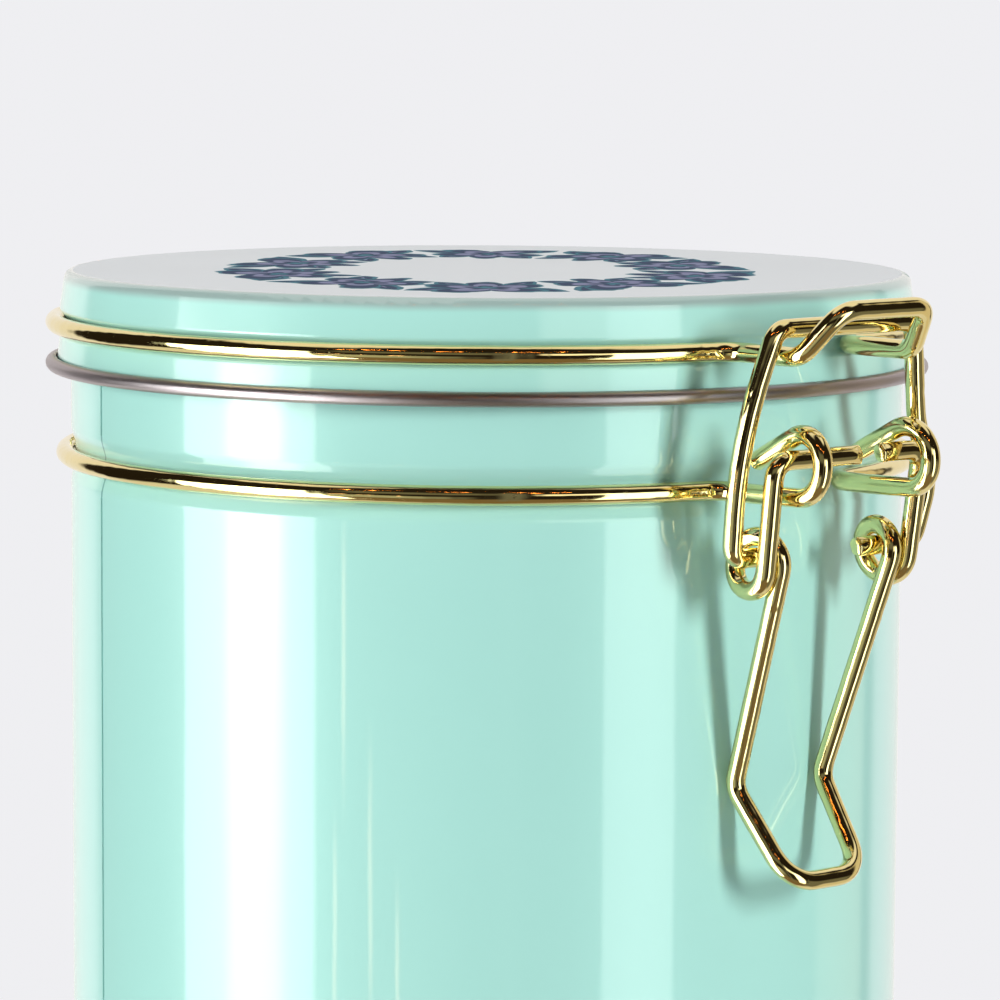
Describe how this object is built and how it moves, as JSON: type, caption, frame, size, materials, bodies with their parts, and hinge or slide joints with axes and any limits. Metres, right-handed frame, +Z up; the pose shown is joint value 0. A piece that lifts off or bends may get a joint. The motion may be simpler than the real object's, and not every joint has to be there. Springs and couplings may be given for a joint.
{
  "type": "wire-clip canister tin",
  "caption": "Round lacquered tinplate canister with a hinged lid held shut by a bent-wire over-centre lever and bail.",
  "frame": {"origin": "centre of the bottom, on the plane that the bottom seam stands on", "axes": "+Z up along the tin's axis; the latch is at the front, towards -Y; the lid's hinge is at the back, towards +Y"},
  "size_m": [0.1048, 0.1283, 0.1552],
  "materials": {
    "mint_lacquer": "glossy lacquer",
    "bare_tinplate": "satin",
    "gold_wire": "polished plating",
    "white_silicone": "matt"
  },
  "bodies": {
    "tin_body": {"body_wall": "mint_lacquer", "bottom_end": "bare_tinplate", "body_ring": "gold_wire"},
    "lid": {"lid_shell": "mint_lacquer", "lid_gasket": "white_silicone", "lid_ring": "gold_wire"},
    "lever": {"latch_lever": "gold_wire"},
    "bail": {"latch_bail": "gold_wire"}
  },
  "joints": [
    {"name": "lid_hinge", "type": "hinge", "parent": "tin_body", "child": "lid", "pos_m": [0, 0.058, 0.142], "axis": [-1, 0, 0], "range_deg": [0, 110]},
    {"name": "lever_pivot", "type": "hinge", "parent": "tin_body", "child": "lever", "pos_m": [0, -0.06075, 0.13765], "axis": [-1, 0, 0], "range_deg": [0, 130]},
    {"name": "bail_pivot", "type": "hinge", "parent": "lever", "child": "bail", "pos_m": [0, -0.0562, 0.12665], "axis": [-1, 0, 0], "range_deg": [-78, 0]}
  ],
  "couplings": [
    {"joint": "bail_pivot", "follows": "lever_pivot", "ratio": -0.6}
  ]
}
